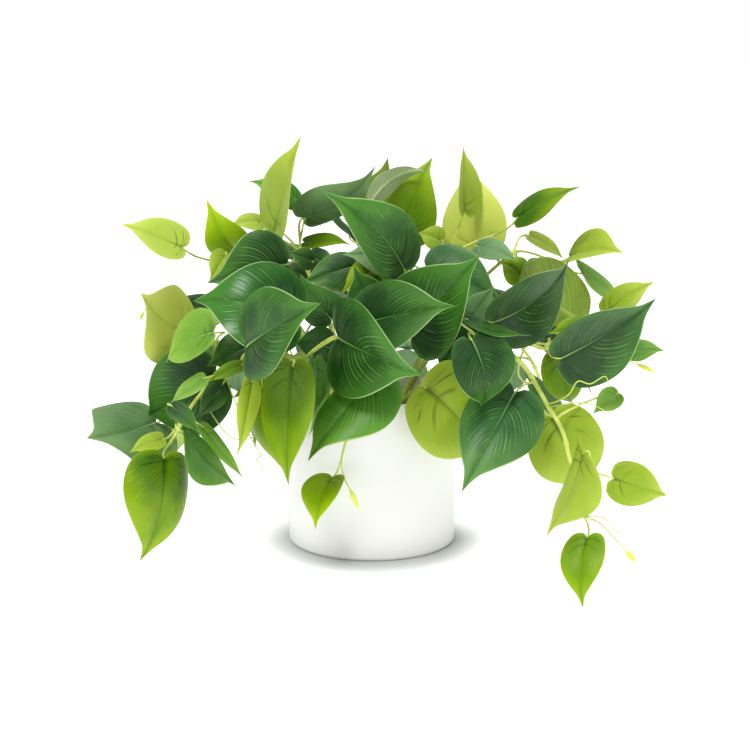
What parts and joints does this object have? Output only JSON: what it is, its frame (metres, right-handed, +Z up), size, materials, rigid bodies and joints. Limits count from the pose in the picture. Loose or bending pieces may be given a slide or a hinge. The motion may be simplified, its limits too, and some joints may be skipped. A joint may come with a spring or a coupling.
{
  "type": "potted pothos plant",
  "caption": "Trailing heart-leaved pothos plant standing in a plain white cylindrical pot, with upright, spreading and hanging leaf stems.",
  "frame": {"origin": "centre of the pot's flat underside", "axes": "+Z up, -Y towards the front of the plant, +X to the viewer's right of the front"},
  "size_m": [0.4009, 0.3276, 0.291],
  "materials": {
    "pot": "satin white",
    "soil": "loose dark bark and coir potting mix",
    "stem": "satin yellow-green stem",
    "leaf_dark": "satin dark green with pale veins",
    "leaf_mid": "satin mid green with pale veins",
    "leaf_lime": "satin lime green with soft veins",
    "leaf_pale": "matt pale green underside"
  },
  "bodies": {
    "root": {"pot": "pot", "soil": "soil", "vine_left_low": "stem", "vine_left_mid": "stem", "vine_left_up": "stem", "vine_up_left": "stem", "vine_front_left": "stem", "vine_front": "stem", "vine_centre": "stem", "vine_up_right": "stem", "vine_right_up": "stem", "vine_right": "stem", "vine_right_low": "stem", "vine_back_left": "stem", "vine_back": "stem", "vine_back_right": "stem", "vine_back_top": "stem", "leaf_quill": "leaf_pale", "leaf_vivid": "leaf_lime", "leaf_tall": "leaf_lime", "leaf_crest_left": "leaf_dark", "leaf_crest_pale": "leaf_pale", "leaf_crown": "leaf_mid", "leaf_high": "leaf_lime", "leaf_spear": "leaf_mid", "leaf_wing": "leaf_dark", "leaf_flag": "leaf_mid", "leaf_drop": "leaf_mid", "leaf_edge": "leaf_lime", "leaf_right": "leaf_dark", "leaf_back_right_a": "leaf_pale", "leaf_shoulder": "leaf_dark", "leaf_heart": "leaf_dark", "leaf_blue": "leaf_dark", "leaf_top": "leaf_dark", "leaf_under_top": "leaf_pale", "leaf_mid": "leaf_dark", "leaf_bright": "leaf_dark", "leaf_front_low": "leaf_dark", "leaf_hanging": "leaf_mid", "leaf_long": "leaf_mid", "leaf_sliver": "leaf_mid", "leaf_lower": "leaf_mid", "leaf_front": "leaf_dark", "leaf_round": "leaf_dark", "leaf_arched": "leaf_dark", "leaf_lime_left": "leaf_lime", "leaf_green_left": "leaf_mid", "leaf_low_left": "leaf_dark", "leaf_far_left": "leaf_dark", "leaf_trail_left": "leaf_mid", "leaf_fold_left": "leaf_mid", "leaf_olive": "leaf_lime", "leaf_under_heart": "leaf_dark", "leaf_green_right": "leaf_dark", "leaf_lime_right": "leaf_lime", "leaf_kite": "leaf_mid", "leaf_side_right": "leaf_lime", "leaf_trail_right": "leaf_mid", "leaf_behind_right": "leaf_mid"}
  },
  "joints": []
}
